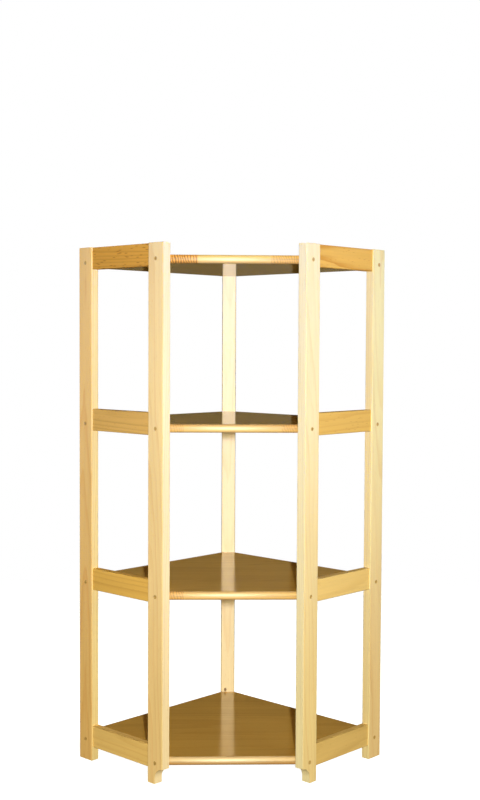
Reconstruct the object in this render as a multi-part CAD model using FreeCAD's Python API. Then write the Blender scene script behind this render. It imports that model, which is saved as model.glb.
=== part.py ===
import FreeCAD, Part
import math
import os

os.makedirs("parts", exist_ok=True)

# A pine shelf for the corner of a room: five posts, four boards and two ladder-like
# side frames. All lengths are in millimetres, +Z is up, the open front faces -Y, and the
# origin is on the floor at the middle of the shelf's outline box. Plan places are given
# as two distances from the corner of the room: along the left wall, then along the right
# wall. Each left-hand piece is modelled with X along the left wall and Y along the right
# wall, and then turned into place; its right-hand twin is its mirror image.

# Overall sizes
POST_HEIGHT = 1140.0
WALL_REACH = 480.0
FRAME_DEPTH = 272.5

# Posts and rails of the side frames. Their inner faces are flush; the front posts are the
# stoutest, and their outer faces stand a little proud of the wall posts
WALL_POST_WIDTH = 42.0
WALL_POST_THICKNESS = 20.0
FRONT_POST_WIDTH = 45.0
FRONT_POST_THICKNESS = 22.0
POST_EASE = 2.0
POST_END_CHAMFER = 0.8
RAIL_HEIGHT = 48.0
RAIL_SETBACK = 3.0
RAIL_EASE = 2.0
TOP_RAIL_DROP = 0.5
BOTTOM_RAIL_CLEARANCE = 30.5

# Scooped feet of the two front posts
TOE_WIDTH = 22.0
TOE_HEIGHT = 12.0
SCOOP_EASE = 1.0

# Back post
BACK_POST_WIDTH = 34.0
BACK_POST_THICKNESS = 18.0

# Boards
BOARD_THICKNESS = 18.0
BOARD_DROP = 24.0
BOARD_WALL_EASE = 1.5
NOSING_SETBACK = 6.8

# Countersunk screws that hold the boards
SCREW_LENGTH = 50.0
SCREW_SHANK_RADIUS = 2.25
SCREW_HEAD_RADIUS = 4.2
SCREW_HEAD_RIM = 0.4
SCREW_TIP = 4.0
SCREW_SINK = 0.2
SCREW_CLEARANCE = 0.1

# Dowels that hold the rails
DOWEL_RADIUS = 4.0
DOWEL_IN_RAIL = 19.75
DOWEL_INSET = 11.0
DOWEL_CHAMFER = 1.0
DOWEL_CLEARANCE = 0.1
DOWEL_END_ROOM = 0.9
DOWEL_TO_SCREW_WOOD = 3.5

# How far a cutting tool runs past the face that it enters, and how closely an edge has
# to lie to a place, or to a direction, to be picked for easing
OVERRUN = 1.0
PLACE_TOLERANCE = 0.01
WAY_TOLERANCE = 1e-6

LEVELS = ("bottom", "lower", "upper", "top")

# Sizes that follow from the ones above
DIAGONAL = math.sqrt(0.5)
POST_INNER = WALL_REACH - WALL_POST_THICKNESS
FRONT_POST_OUTER = POST_INNER + FRONT_POST_THICKNESS
FRONT_POST_START = FRAME_DEPTH - FRONT_POST_WIDTH
RAIL_THICKNESS = WALL_POST_THICKNESS - RAIL_SETBACK
RAIL_LENGTH = FRONT_POST_START - WALL_POST_WIDTH
LOWEST_RAIL_TOP = BOTTOM_RAIL_CLEARANCE + RAIL_HEIGHT
SHELF_PITCH = (POST_HEIGHT - TOP_RAIL_DROP - LOWEST_RAIL_TOP) / (len(LEVELS) - 1)
SCOOP_RADIUS = FRONT_POST_WIDTH - TOE_WIDTH
NOSING_RADIUS = BOARD_THICKNESS / 2
SCREW_BORE = SCREW_SHANK_RADIUS + SCREW_CLEARANCE
DOWEL_HOLE_IN_POST = WALL_POST_WIDTH / 2 - SCREW_BORE - DOWEL_TO_SCREW_WOOD
DOWEL_IN_POST = DOWEL_HOLE_IN_POST - DOWEL_END_ROOM

# The boards' back corner is cut off just as wide as the back post
BACK_POST_FACE = -BACK_POST_WIDTH / 2
BACK_POST_REAR = BACK_POST_FACE + BACK_POST_THICKNESS
BACK_CUT = BACK_POST_WIDTH * DIAGONAL

# The corner of the room lies on the line X = 0, this far behind the origin
ROUNDED_CORNER_LOSS = POST_EASE * (1 / DIAGONAL - 1)
FRONT_REACH = (FRONT_POST_OUTER + FRAME_DEPTH) * DIAGONAL - ROUNDED_CORNER_LOSS
CORNER_Y = (FRONT_REACH - BACK_POST_REAR) / 2

ORIGIN = FreeCAD.Vector(0, 0, 0)
X_AXIS = FreeCAD.Vector(1, 0, 0)
Y_AXIS = FreeCAD.Vector(0, 1, 0)
Z_AXIS = FreeCAD.Vector(0, 0, 1)
CORNER_TURN = 225


def rail_top(level):
    """Height of the rails' top edges at a level."""
    return LOWEST_RAIL_TOP + level * SHELF_PITCH


def board_top(level):
    """Height of a board's upper face."""
    return rail_top(level) - BOARD_DROP


def board_middle(level):
    """Height of the middle of a board's thickness."""
    return board_top(level) - BOARD_THICKNESS / 2


def in_place(shape):
    """Turn a shape that was modelled along the two walls into the shelf's own frame."""
    turned = shape.copy()
    turned.rotate(ORIGIN, Z_AXIS, CORNER_TURN)
    turned.translate(CORNER_Y * Y_AXIS)
    return turned


def mirrored(shape):
    """The right-hand twin of a left-hand shape that is in place."""
    return shape.mirror(ORIGIN, X_AXIS)


def plan_point(along_left, along_right, height):
    """A point of the shelf's own frame from its distances along the two walls."""
    sideways = (along_right - along_left) * DIAGONAL
    forwards = (along_left + along_right) * DIAGONAL
    return FreeCAD.Vector(sideways, CORNER_Y - forwards, height)


def is_line_along(edge, axis):
    """Whether an edge is a straight line along an axis."""
    if not isinstance(edge.Curve, (Part.Line, Part.LineSegment)):
        return False
    return abs(abs(edge.tangentAt(edge.FirstParameter).dot(axis)) - 1) < WAY_TOLERANCE


def lies_at_height(edge, height):
    """Whether the whole of an edge lies at one height."""
    box = edge.BoundBox
    return abs(box.ZMin - height) < PLACE_TOLERANCE and abs(box.ZMax - height) < PLACE_TOLERANCE


def bar(corner, size, axis, ease):
    """A planed bar whose four long edges, along an axis, are eased."""
    block = Part.makeBox(size.x, size.y, size.z, corner)
    return block.makeFillet(ease, [edge for edge in block.Edges if is_line_along(edge, axis)])


def with_chamfered_ends(post):
    """A post with a small chamfer round its foot and its top."""
    rims = [
        edge
        for edge in post.Edges
        if lies_at_height(edge, 0) or lies_at_height(edge, POST_HEIGHT)
    ]
    return post.makeChamfer(POST_END_CHAMFER, rims)


def screw_bore(start, way):
    """The bore and countersink for the screw that enters a face at start."""
    rim = SCREW_HEAD_RADIUS + SCREW_CLEARANCE
    straight = SCREW_SINK + SCREW_HEAD_RIM
    depth = SCREW_SINK + SCREW_LENGTH + SCREW_CLEARANCE
    mouth = Part.makeCylinder(rim, straight + OVERRUN, start - OVERRUN * way, way)
    cone = Part.makeCone(rim, SCREW_BORE, rim - SCREW_BORE, start + straight * way, way)
    bore = Part.makeCylinder(SCREW_BORE, depth, start, way)
    return mouth.fuse([cone, bore])


def screw(start, way):
    """A countersunk wood screw whose head lies just below the face that it enters."""
    neck = SCREW_HEAD_RIM + SCREW_HEAD_RADIUS - SCREW_SHANK_RADIUS
    profile = [
        (0, 0),
        (SCREW_HEAD_RADIUS, 0),
        (SCREW_HEAD_RADIUS, SCREW_HEAD_RIM),
        (SCREW_SHANK_RADIUS, neck),
        (SCREW_SHANK_RADIUS, SCREW_LENGTH - SCREW_TIP),
        (0, SCREW_LENGTH),
        (0, 0),
    ]
    outline = Part.makePolygon([FreeCAD.Vector(radius, 0, depth) for radius, depth in profile])
    solid = Part.Face(outline).revolve(ORIGIN, Z_AXIS, 360)
    turn = FreeCAD.Rotation(Z_AXIS, way)
    solid.Placement = FreeCAD.Placement(start + SCREW_SINK * way, turn)
    return solid


def side_screw_starts(level):
    """Where the screws of one board enter the outer faces of the two left posts."""
    wall = (WALL_REACH, WALL_POST_WIDTH / 2)
    front = (FRONT_POST_OUTER, FRONT_POST_START + FRONT_POST_WIDTH / 2)
    return [FreeCAD.Vector(*place, board_middle(level)) for place in (wall, front)]


def back_screw_start(level):
    """Where the screw of one board enters the rear face of the back post."""
    return FreeCAD.Vector(0, CORNER_Y + BACK_POST_REAR, board_middle(level))


def dowel_sites(level):
    """The dowels of a left rail, each a point on its joint and the way into the rail."""
    middle = POST_INNER + RAIL_THICKNESS / 2
    top = rail_top(level)
    heights = (top - RAIL_HEIGHT + DOWEL_INSET, top - DOWEL_INSET)
    joints = ((WALL_POST_WIDTH, Y_AXIS), (FRONT_POST_START, -Y_AXIS))
    return [
        (FreeCAD.Vector(middle, joint, height), way)
        for height in heights
        for joint, way in joints
    ]


def dowel(joint, way):
    """A dowel across a joint, with both ends chamfered."""
    length = DOWEL_IN_POST + DOWEL_IN_RAIL
    pin = Part.makeCylinder(DOWEL_RADIUS, length, joint - DOWEL_IN_POST * way, way)
    rims = [edge for edge in pin.Edges if isinstance(edge.Curve, Part.Circle)]
    return pin.makeChamfer(DOWEL_CHAMFER, rims)


def dowel_hole(joint, way):
    """The two blind holes for one dowel, in the post and in the rail."""
    depth = DOWEL_HOLE_IN_POST + DOWEL_IN_RAIL + DOWEL_END_ROOM
    start = joint - DOWEL_HOLE_IN_POST * way
    return Part.makeCylinder(DOWEL_RADIUS + DOWEL_CLEARANCE, depth, start, way)


def left_frame_holes():
    """Every hole in the left posts and rails."""
    holes = []
    for level in range(len(LEVELS)):
        holes += [screw_bore(start, -X_AXIS) for start in side_screw_starts(level)]
        holes += [dowel_hole(joint, way) for joint, way in dowel_sites(level)]
    return holes


def left_post(start, width, thickness):
    """A plain left post that begins at a distance along the right wall."""
    size = FreeCAD.Vector(thickness, width, POST_HEIGHT)
    return bar(FreeCAD.Vector(POST_INNER, start, 0), size, Z_AXIS, POST_EASE)


def left_wall_post():
    """The left post that stands against the wall."""
    post = left_post(0, WALL_POST_WIDTH, WALL_POST_THICKNESS)
    return with_chamfered_ends(post).cut(left_frame_holes())


def scoop():
    """The cutter for a front foot: a quarter-round hollow above a straight toe."""
    inner = POST_INNER - OVERRUN
    through = FRONT_POST_THICKNESS + 2 * OVERRUN
    centre = FreeCAD.Vector(inner, FRAME_DEPTH, TOE_HEIGHT)
    corner = FreeCAD.Vector(inner, FRAME_DEPTH - SCOOP_RADIUS, -OVERRUN)
    hollow = Part.makeCylinder(SCOOP_RADIUS, through, centre, X_AXIS)
    toe = Part.makeBox(through, SCOOP_RADIUS + OVERRUN, TOE_HEIGHT + OVERRUN, corner)
    return hollow.fuse(toe)


def is_scoop_rim(edge):
    """Whether an edge is the curved rim of the scoop on one of the wide faces."""
    if not isinstance(edge.Curve, Part.Circle):
        return False
    return abs(edge.Curve.Radius - SCOOP_RADIUS) < PLACE_TOLERANCE


def left_front_post():
    """The left front post, with the inner side of its foot scooped out."""
    blank = left_post(FRONT_POST_START, FRONT_POST_WIDTH, FRONT_POST_THICKNESS)
    post = blank.cut(scoop()).removeSplitter()
    post = post.makeFillet(SCOOP_EASE, [edge for edge in post.Edges if is_scoop_rim(edge)])
    return with_chamfered_ends(post).cut(left_frame_holes())


def left_rail(level):
    """A rail between the two left posts, flush with their inner faces."""
    corner = FreeCAD.Vector(POST_INNER, WALL_POST_WIDTH, rail_top(level) - RAIL_HEIGHT)
    size = FreeCAD.Vector(RAIL_THICKNESS, RAIL_LENGTH, RAIL_HEIGHT)
    return bar(corner, size, Y_AXIS, RAIL_EASE).cut(left_frame_holes())


def left_rail_dowels(level):
    """The four dowels of a left rail."""
    return Part.makeCompound([dowel(joint, way) for joint, way in dowel_sites(level)])


def back_post():
    """The back post, set across the corner of the room."""
    corner = FreeCAD.Vector(-BACK_POST_WIDTH / 2, CORNER_Y + BACK_POST_FACE, 0)
    size = FreeCAD.Vector(BACK_POST_WIDTH, BACK_POST_THICKNESS, POST_HEIGHT)
    post = with_chamfered_ends(bar(corner, size, Z_AXIS, POST_EASE))
    levels = range(len(LEVELS))
    return post.cut([screw_bore(back_screw_start(level), -Y_AXIS) for level in levels])


def board_blank(level):
    """The plan of a board as a prism: a pentagon with its back corner cut off."""
    floor = board_top(level) - BOARD_THICKNESS
    front_corner = FRAME_DEPTH - NOSING_SETBACK / DIAGONAL
    left_side = [(BACK_CUT, 0), (POST_INNER, 0), (POST_INNER, front_corner)]
    right_side = [(right, left) for left, right in reversed(left_side)]
    outline = left_side + right_side + left_side[:1]
    points = [plan_point(along_left, along_right, floor) for along_left, along_right in outline]
    return Part.Face(Part.makePolygon(points)).extrude(BOARD_THICKNESS * Z_AXIS)


def nosed_slab(level):
    """A slab across the whole shelf whose front edge is a full half-round."""
    top = board_top(level)
    floor = top - BOARD_THICKNESS
    crest_y = CORNER_Y - (POST_INNER + FRAME_DEPTH) * DIAGONAL + NOSING_SETBACK
    round_y = crest_y + NOSING_RADIUS
    crest = FreeCAD.Vector(-WALL_REACH, crest_y, board_middle(level))
    front_top = FreeCAD.Vector(-WALL_REACH, round_y, top)
    front_floor = FreeCAD.Vector(-WALL_REACH, round_y, floor)
    rear_top = FreeCAD.Vector(-WALL_REACH, CORNER_Y, top)
    rear_floor = FreeCAD.Vector(-WALL_REACH, CORNER_Y, floor)
    section = [
        Part.Arc(front_top, crest, front_floor).toShape(),
        Part.makeLine(front_floor, rear_floor),
        Part.makeLine(rear_floor, rear_top),
        Part.makeLine(rear_top, front_top),
    ]
    return Part.Face(Part.Wire(section)).extrude(2 * WALL_REACH * X_AXIS)


def is_wall_edge(edge, level):
    """Whether an edge is a long upper or lower edge on a wall side of a board."""
    middle = edge.BoundBox.Center
    on_wall = abs(abs(middle.x) - (CORNER_Y - middle.y)) < PLACE_TOLERANCE
    return on_wall and abs(middle.z - board_middle(level)) > PLACE_TOLERANCE


def board(level):
    """A board with its nosing, its eased wall edges and its screw holes."""
    blank = board_blank(level).common(nosed_slab(level)).removeSplitter()
    wall_edges = [edge for edge in blank.Edges if is_wall_edge(edge, level)]
    eased = blank.makeFillet(BOARD_WALL_EASE, wall_edges)
    holes = [screw_bore(back_screw_start(level), -Y_AXIS)]
    for start in side_screw_starts(level):
        hole = in_place(screw_bore(start, -X_AXIS))
        holes += [hole, mirrored(hole)]
    return eased.cut(holes)


def board_screws(level):
    """The five screws of one board."""
    screws = [screw(back_screw_start(level), -Y_AXIS)]
    for start in side_screw_starts(level):
        left = in_place(screw(start, -X_AXIS))
        screws += [left, mirrored(left)]
    return Part.makeCompound(screws)


def save(name, shape):
    """Write one node, once all its solids are sound."""
    if not all(solid.isValid() for solid in shape.Solids):
        raise ValueError(name + " has a solid that is not valid")
    shape.exportStep("parts/" + name + ".step")
    print(name, len(shape.Solids), "solids", round(shape.Volume), "mm3")


def save_pair(name, shape):
    """Write a left-hand piece and its right-hand twin."""
    left = in_place(shape)
    save("left_" + name, left)
    save("right_" + name, mirrored(left))


def main():
    """Build every piece and write one file for each node."""
    save("back_post", back_post())
    save_pair("wall_post", left_wall_post())
    save_pair("front_post", left_front_post())
    for level, name in enumerate(LEVELS):
        save(name + "_board", board(level))
        save(name + "_board_screws", board_screws(level))
        save_pair(name + "_rail", left_rail(level))
        save_pair(name + "_rail_dowels", left_rail_dowels(level))


main()
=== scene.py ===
"""The looks of a pine corner shelf: its varnished wood, its screws, the studio and the camera."""

import logging
import math
import random
from dataclasses import dataclass, field, fields
from enum import Enum

import bpy
from mathutils import Matrix, Vector


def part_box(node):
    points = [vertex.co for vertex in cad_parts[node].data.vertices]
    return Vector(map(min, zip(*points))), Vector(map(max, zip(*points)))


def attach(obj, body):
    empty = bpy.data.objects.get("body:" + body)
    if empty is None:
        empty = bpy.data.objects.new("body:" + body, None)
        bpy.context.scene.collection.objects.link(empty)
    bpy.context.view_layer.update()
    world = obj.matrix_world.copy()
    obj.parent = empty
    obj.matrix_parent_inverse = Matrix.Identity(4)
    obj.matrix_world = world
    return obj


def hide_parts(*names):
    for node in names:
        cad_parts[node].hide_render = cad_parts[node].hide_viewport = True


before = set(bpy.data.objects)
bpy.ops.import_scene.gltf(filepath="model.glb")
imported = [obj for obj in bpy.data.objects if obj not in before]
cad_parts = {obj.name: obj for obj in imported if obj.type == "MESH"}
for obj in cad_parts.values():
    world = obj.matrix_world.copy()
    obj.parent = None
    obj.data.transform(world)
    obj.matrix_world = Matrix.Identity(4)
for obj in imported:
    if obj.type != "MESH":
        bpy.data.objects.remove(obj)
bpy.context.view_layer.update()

log = logging.getLogger("corner_shelf")

Socket = bpy.types.NodeSocket
Value = float | tuple | Vector | Socket

DIAGONAL = math.sqrt(0.5)
UP = Vector((0, 0, 1))
FORWARD = Vector((0, -1, 0))
NO_TINT = (1.0, 1.0, 1.0)
WHITE = (1.0, 1.0, 1.0, 1.0)


class Level(Enum):
    """The four boards, from the floor up."""

    BOTTOM = "bottom"
    LOWER = "lower"
    UPPER = "upper"
    TOP = "top"


class Side(Enum):
    """The two side frames, with the way from the middle of the shelf to each."""

    LEFT = -1
    RIGHT = 1

    @property
    def word(self) -> str:
        """The first word of the names of this side's pieces."""
        return self.name.lower()

    @property
    def outward(self) -> Vector:
        """The way that the wide outer faces of this side's frame look."""
        return Vector((self.value * DIAGONAL, -DIAGONAL, 0))

    @property
    def rail_run(self) -> Vector:
        """The way that this side's rails run, from the wall post to the front post."""
        return Vector((-self.value * DIAGONAL, -DIAGONAL, 0))


@dataclass(frozen=True)
class Colour:
    """A colour as a painter's card gives it, each share from 0 to 255."""

    red: float
    green: float
    blue: float

    # The screen's standard curve: straight up to the knee, a power over it
    FULL = 255
    KNEE = 0.04045
    SLOPE = 12.92
    LIFT = 0.055
    POWER = 2.4

    def linear(self) -> tuple[float, float, float, float]:
        """The same colour as light, which is what a shader's socket takes."""
        shares = (self.red / self.FULL, self.green / self.FULL, self.blue / self.FULL)
        return (*(self._as_light(share) for share in shares), 1.0)

    def _as_light(self, share: float) -> float:
        """One share of the colour on the screen's curve, turned into light."""
        if share <= self.KNEE:
            return share / self.SLOPE
        return ((share + self.LIFT) / (1 + self.LIFT)) ** self.POWER


class NodeSheet:
    """Adds nodes to one tree and joins them, so that a formula reads as calls."""

    # The mix node's sockets for colours, which share their names with those for numbers
    MIX_SHARE = 0
    MIX_UNDER = 6
    MIX_OVER = 7
    MIX_RESULT = 2

    def __init__(self, tree: bpy.types.NodeTree) -> None:
        """Works on a tree.

        Args:
            tree: The tree of a material, a world or a group.
        """
        self.tree = tree

    def node(self, kind: str, inputs: dict | None = None, **settings: object) -> bpy.types.Node:
        """Adds one node.

        Args:
            kind: The node's type.
            inputs: What goes into its sockets, by name or by number.
            settings: The node's own settings.

        Returns:
            The new node.
        """
        made = self.tree.nodes.new(kind)
        for name, value in settings.items():
            setattr(made, name, value)
        for key, value in (inputs or {}).items():
            self.feed(made.inputs[key], value)
        return made

    def feed(self, socket: Socket, value: Value) -> None:
        """Joins a socket to another one, or sets it to a plain value."""
        if isinstance(value, bpy.types.NodeSocket):
            self.tree.links.new(value, socket)
        else:
            socket.default_value = value

    def math(self, operation: str, *values: Value) -> Socket:
        """A sum, product or other plain formula of numbers."""
        return self.node("ShaderNodeMath", dict(enumerate(values)), operation=operation).outputs[0]

    def vector(self, operation: str, *values: Value) -> Socket:
        """A formula of vectors that gives a vector."""
        made = self.node("ShaderNodeVectorMath", dict(enumerate(values)), operation=operation)
        return made.outputs["Vector"]

    def length(self, place: Value) -> Socket:
        """How long a vector is."""
        return self.node("ShaderNodeVectorMath", {0: place}, operation="LENGTH").outputs["Value"]

    def ramp(self, value: Value, start: float, end: float, low: float = 0, high: float = 1) -> Socket:
        """A smooth climb from low to high while a value goes from start to end."""
        sockets = {"Value": value, "From Min": start, "From Max": end, "To Min": low, "To Max": high}
        made = self.node("ShaderNodeMapRange", sockets, interpolation_type="SMOOTHSTEP")
        return made.outputs["Result"]

    def noise(self, place: Value, detail: float = 2) -> Socket:
        """Soft noise around one half, one wave for each unit of the place."""
        sockets = {"Vector": place, "Scale": 1, "Detail": detail}
        return self.node("ShaderNodeTexNoise", sockets).outputs["Fac"]

    def blend(self, share: Value, under: Value, over: Value, way: str = "MIX") -> Socket:
        """Lays one colour over another."""
        sockets = {self.MIX_SHARE: share, self.MIX_UNDER: under, self.MIX_OVER: over}
        made = self.node("ShaderNodeMix", sockets, data_type="RGBA", blend_type=way)
        return made.outputs[self.MIX_RESULT]

    def dot(self, one: Value, other: Value) -> Socket:
        """How far one vector goes along another."""
        made = self.node("ShaderNodeVectorMath", {0: one, 1: other}, operation="DOT_PRODUCT")
        return made.outputs["Value"]

    def glow(self, colour: Value, strength: float = 1.0) -> bpy.types.Node:
        """A shader that only shines."""
        return self.node("ShaderNodeEmission", {"Color": colour, "Strength": strength})

    def surface(self, shader: bpy.types.Node, kind: str = "Material") -> None:
        """Ends the tree of a material or a world with a shader as its surface."""
        out = self.node("ShaderNodeOutput" + kind)
        self.feed(out.inputs["Surface"], shader.outputs[0])


def new_material(name: str) -> tuple[bpy.types.Material, NodeSheet]:
    """Starts a material with an empty tree.

    Args:
        name: The material's name.

    Returns:
        The material, and the sheet for its nodes.
    """
    material = bpy.data.materials.new(name)
    material.use_nodes = True
    sheet = NodeSheet(material.node_tree)
    sheet.tree.nodes.clear()
    return material, sheet


def add_object(name: str, data: bpy.types.ID) -> bpy.types.Object:
    """Puts a mesh, a lamp or a camera into the scene as an object."""
    made = bpy.data.objects.new(name, data)
    bpy.context.scene.collection.objects.link(made)
    return made


def new_group(name: str, takes: dict[str, str], gives: dict[str, str]) -> bpy.types.ShaderNodeTree:
    """Starts a group of shader nodes.

    Args:
        name: The group's name.
        takes: The kinds of its inputs, by name.
        gives: The kinds of its outputs, by name.

    Returns:
        The group, with its sockets and no nodes yet.
    """
    group = bpy.data.node_groups.new(name, "ShaderNodeTree")
    for way, sockets in (("INPUT", takes), ("OUTPUT", gives)):
        for label, kind in sockets.items():
            group.interface.new_socket(name=label, in_out=way, socket_type="NodeSocket" + kind)
    return group


class PineGrain:
    """The pattern of sawn pine, made once and shared by every wooden piece.

    It is a pattern through the whole log: X runs along the fibres and the heart of the log
    is the line Y = Z = 0, so the faces of a bar show long lines or arches, and its ends rings.
    """

    TAKES = {
        "Log Place": "Vector",
        "Early Wood": "Color",
        "Late Wood": "Color",
        "Ring Width": "Float",
        "Contrast": "Float",
        "Waver": "Float",
        "Flecks": "Float",
        "End": "Float",
        "Roughness": "Float",
    }
    GIVES = {"Colour": "Color", "Height": "Float", "Roughness": "Float"}

    ACROSS = (0, 1, 1)

    # Waves for each metre along the fibres and across them
    SLOW_WAVES = (1.9, 16.0, 16.0)
    QUICK_WAVES = (9.0, 120.0, 120.0)
    FIBRE_WAVES = (28.0, 1500.0, 1500.0)
    STREAK_WAVES = (3.5, 190.0, 190.0)
    PATCH_WAVES = (3.0, 26.0, 26.0)
    FLECK_WAVES = (42.0, 270.0, 270.0)
    PEEL_WAVES = (210.0, 210.0, 210.0)

    # Shares of a ring where the late wood starts, is darkest and ends
    LATE_START = 0.30
    LATE_DARKEST = 0.90
    LATE_END = 0.985
    LATE_POWER = 1.8
    QUICK_SHARE = 0.12
    FAINTEST_RING = 0.35

    FIBRE_STRENGTH = 0.10
    STREAK_STRENGTH = 0.16
    PATCH_STRENGTH = 0.14
    END_DARKENING = 0.30
    FEWEST_FLECKS = 0.12
    MORE_FLECKS = 0.30
    FLECK_CORE = 0.4

    # Heights in metres that the varnish doesn't fill
    RING_HEIGHT = 0.000018
    FIBRE_HEIGHT = 0.000006
    PEEL_HEIGHT = 0.000012

    ROUGHNESS_SPREAD = 0.08

    def __init__(self) -> None:
        """Builds the group."""
        self.group = new_group("pine grain", self.TAKES, self.GIVES)
        sheet = NodeSheet(self.group)
        taken = sheet.node("NodeGroupInput").outputs
        place = taken["Log Place"]
        late = sheet.math("MULTIPLY", self._late_share(sheet, taken), taken["Contrast"])
        fibre = sheet.noise(sheet.vector("MULTIPLY", place, self.FIBRE_WAVES))
        peel = sheet.noise(sheet.vector("MULTIPLY", place, self.PEEL_WAVES), detail=1)
        out = sheet.node("NodeGroupOutput")
        sheet.feed(out.inputs["Colour"], self._colour(sheet, taken, late, fibre))
        ring_height = sheet.math("MULTIPLY", late, self.RING_HEIGHT)
        with_fibres = sheet.math("MULTIPLY_ADD", fibre, self.FIBRE_HEIGHT, ring_height)
        height = sheet.math("MULTIPLY_ADD", peel, self.PEEL_HEIGHT, with_fibres)
        sheet.feed(out.inputs["Height"], height)
        roughness = sheet.math("MULTIPLY_ADD", fibre, self.ROUGHNESS_SPREAD, taken["Roughness"])
        sheet.feed(out.inputs["Roughness"], roughness)

    def _late_share(self, sheet: NodeSheet, taken: bpy.types.NodeOutputs) -> Socket:
        """How much of the dark late wood a place has, from its distance to the heart."""
        place = taken["Log Place"]
        across = sheet.vector("MULTIPLY", place, self.ACROSS)
        slow = sheet.noise(sheet.vector("MULTIPLY", place, self.SLOW_WAVES), detail=1)
        quick = sheet.noise(sheet.vector("MULTIPLY", place, self.QUICK_WAVES))
        wander = sheet.math("MULTIPLY_ADD", quick, self.QUICK_SHARE, slow)
        radius = sheet.math("MULTIPLY_ADD", wander, taken["Waver"], sheet.length(across))
        turns = sheet.math("DIVIDE", radius, taken["Ring Width"])
        part = sheet.math("FRACT", turns)
        climb = sheet.math("POWER", sheet.ramp(part, self.LATE_START, self.LATE_DARKEST), self.LATE_POWER)
        fall = sheet.ramp(part, self.LATE_DARKEST, self.LATE_END, 1, 0)
        ring = sheet.math("FLOOR", turns)
        luck = sheet.node("ShaderNodeTexWhiteNoise", {"W": ring}, noise_dimensions="1D").outputs["Value"]
        strength = sheet.math("MULTIPLY_ADD", luck, 1 - self.FAINTEST_RING, self.FAINTEST_RING)
        return sheet.math("MULTIPLY", sheet.math("MULTIPLY", climb, fall), strength)

    def _colour(
        self, sheet: NodeSheet, taken: bpy.types.NodeOutputs, late: Socket, fibre: Socket
    ) -> Socket:
        """The colour of a place, from its ring, its fibres and its patch of the log."""
        place = taken["Log Place"]
        plain = sheet.blend(late, taken["Early Wood"], taken["Late Wood"])
        streak = sheet.noise(sheet.vector("MULTIPLY", place, self.STREAK_WAVES), detail=3)
        patch = sheet.noise(sheet.vector("MULTIPLY", place, self.PATCH_WAVES), detail=1)
        shade: Socket | float = 1 - (self.FIBRE_STRENGTH + self.STREAK_STRENGTH + self.PATCH_STRENGTH) / 2
        for part, strength in (
            (fibre, self.FIBRE_STRENGTH),
            (streak, self.STREAK_STRENGTH),
            (patch, self.PATCH_STRENGTH),
        ):
            shade = sheet.math("MULTIPLY_ADD", part, strength, shade)
        cells = sheet.vector("MULTIPLY", place, self.FLECK_WAVES)
        distance = sheet.node("ShaderNodeTexVoronoi", {"Vector": cells, "Scale": 1}).outputs["Distance"]
        reach = sheet.math("MULTIPLY_ADD", taken["Flecks"], self.MORE_FLECKS, self.FEWEST_FLECKS)
        fleck = sheet.ramp(distance, reach, sheet.math("MULTIPLY", reach, self.FLECK_CORE))
        strong = sheet.math("MULTIPLY", fleck, taken["Flecks"])
        flecked = sheet.blend(strong, plain, taken["Late Wood"], "MULTIPLY")
        darker = sheet.math("MULTIPLY_ADD", taken["End"], -self.END_DARKENING, shade)
        return sheet.vector("MULTIPLY", flecked, darker)


class KnotBend:
    """Bends the grain round a knot and says where its core is, for as many knots as a piece has."""

    TAKES = {"Log Place": "Vector", "Centre": "Vector", "Radius": "Float"}
    GIVES = {"Log Place": "Vector", "Core": "Float"}
    LENGTHENING = 0.7
    CORE_EDGE = 1.1
    CORE_INSIDE = 0.7

    def __init__(self) -> None:
        """Builds the group."""
        self.group = new_group("knot", self.TAKES, self.GIVES)
        sheet = NodeSheet(self.group)
        taken = sheet.node("NodeGroupInput").outputs
        offset = sheet.vector("SUBTRACT", taken["Log Place"], taken["Centre"])
        distance = sheet.length(sheet.vector("MULTIPLY", offset, (self.LENGTHENING, 1, 1)))
        reach = sheet.math("DIVIDE", taken["Radius"], sheet.math("MAXIMUM", distance, taken["Radius"]))
        kept = sheet.math("SUBTRACT", 1, sheet.math("MULTIPLY", reach, reach))
        squeeze = sheet.node("ShaderNodeCombineXYZ", {0: 1, 1: kept, 2: kept}).outputs[0]
        bent = sheet.vector("MULTIPLY_ADD", offset, squeeze, taken["Centre"])
        out = sheet.node("NodeGroupOutput")
        sheet.feed(out.inputs["Log Place"], bent)
        share = sheet.math("DIVIDE", distance, taken["Radius"])
        sheet.feed(out.inputs["Core"], sheet.ramp(share, self.CORE_EDGE, self.CORE_INSIDE))


@dataclass(frozen=True)
class Knot:
    """A small knot: where it is on the shelf, and how large."""

    centre: Vector
    radius: float


@dataclass(frozen=True)
class Cut:
    """How a piece was sawn from its log.

    Attributes:
        along: The way the fibres run.
        face: The way that the piece's wide face looks.
        heart: The distance from the middle of the piece to the heart of the log.
        turn: The angle of the heart round the piece, 0 straight behind the wide face.
        lean: How far the fibres lean from the bar, which draws arches on its faces.
        start: How far up the log the piece begins, so that no two pieces are alike.
    """

    along: Vector
    face: Vector
    heart: float
    turn: float
    lean: float
    start: float

    def frame_at(self, middle: Vector) -> tuple[Matrix, Vector]:
        """The turn and the shift that carry a place on the shelf into the log.

        Args:
            middle: The middle of the piece.

        Returns:
            The turn, and the shift that follows it.
        """
        leaning = Matrix.Rotation(self.lean, 3, self.along.cross(self.face))
        along = (leaning @ self.along).normalized()
        behind = (leaning @ self.face).normalized()
        beside = along.cross(behind)
        turn = Matrix((along, behind, beside))
        heart = middle - self.heart * (math.cos(self.turn) * behind + math.sin(self.turn) * beside)
        shift = -(turn @ heart)
        shift.x += self.start
        return turn, shift


@dataclass(frozen=True)
class Varnish:
    """A clear varnish over the wood.

    Attributes:
        roughness: How rough the varnished wood is.
        shine: How much it mirrors, one half being plain.
        index: How strongly the varnish bends light.
    """

    roughness: float = 0.50
    shine: float = 0.5
    index: float = 1.5


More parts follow.
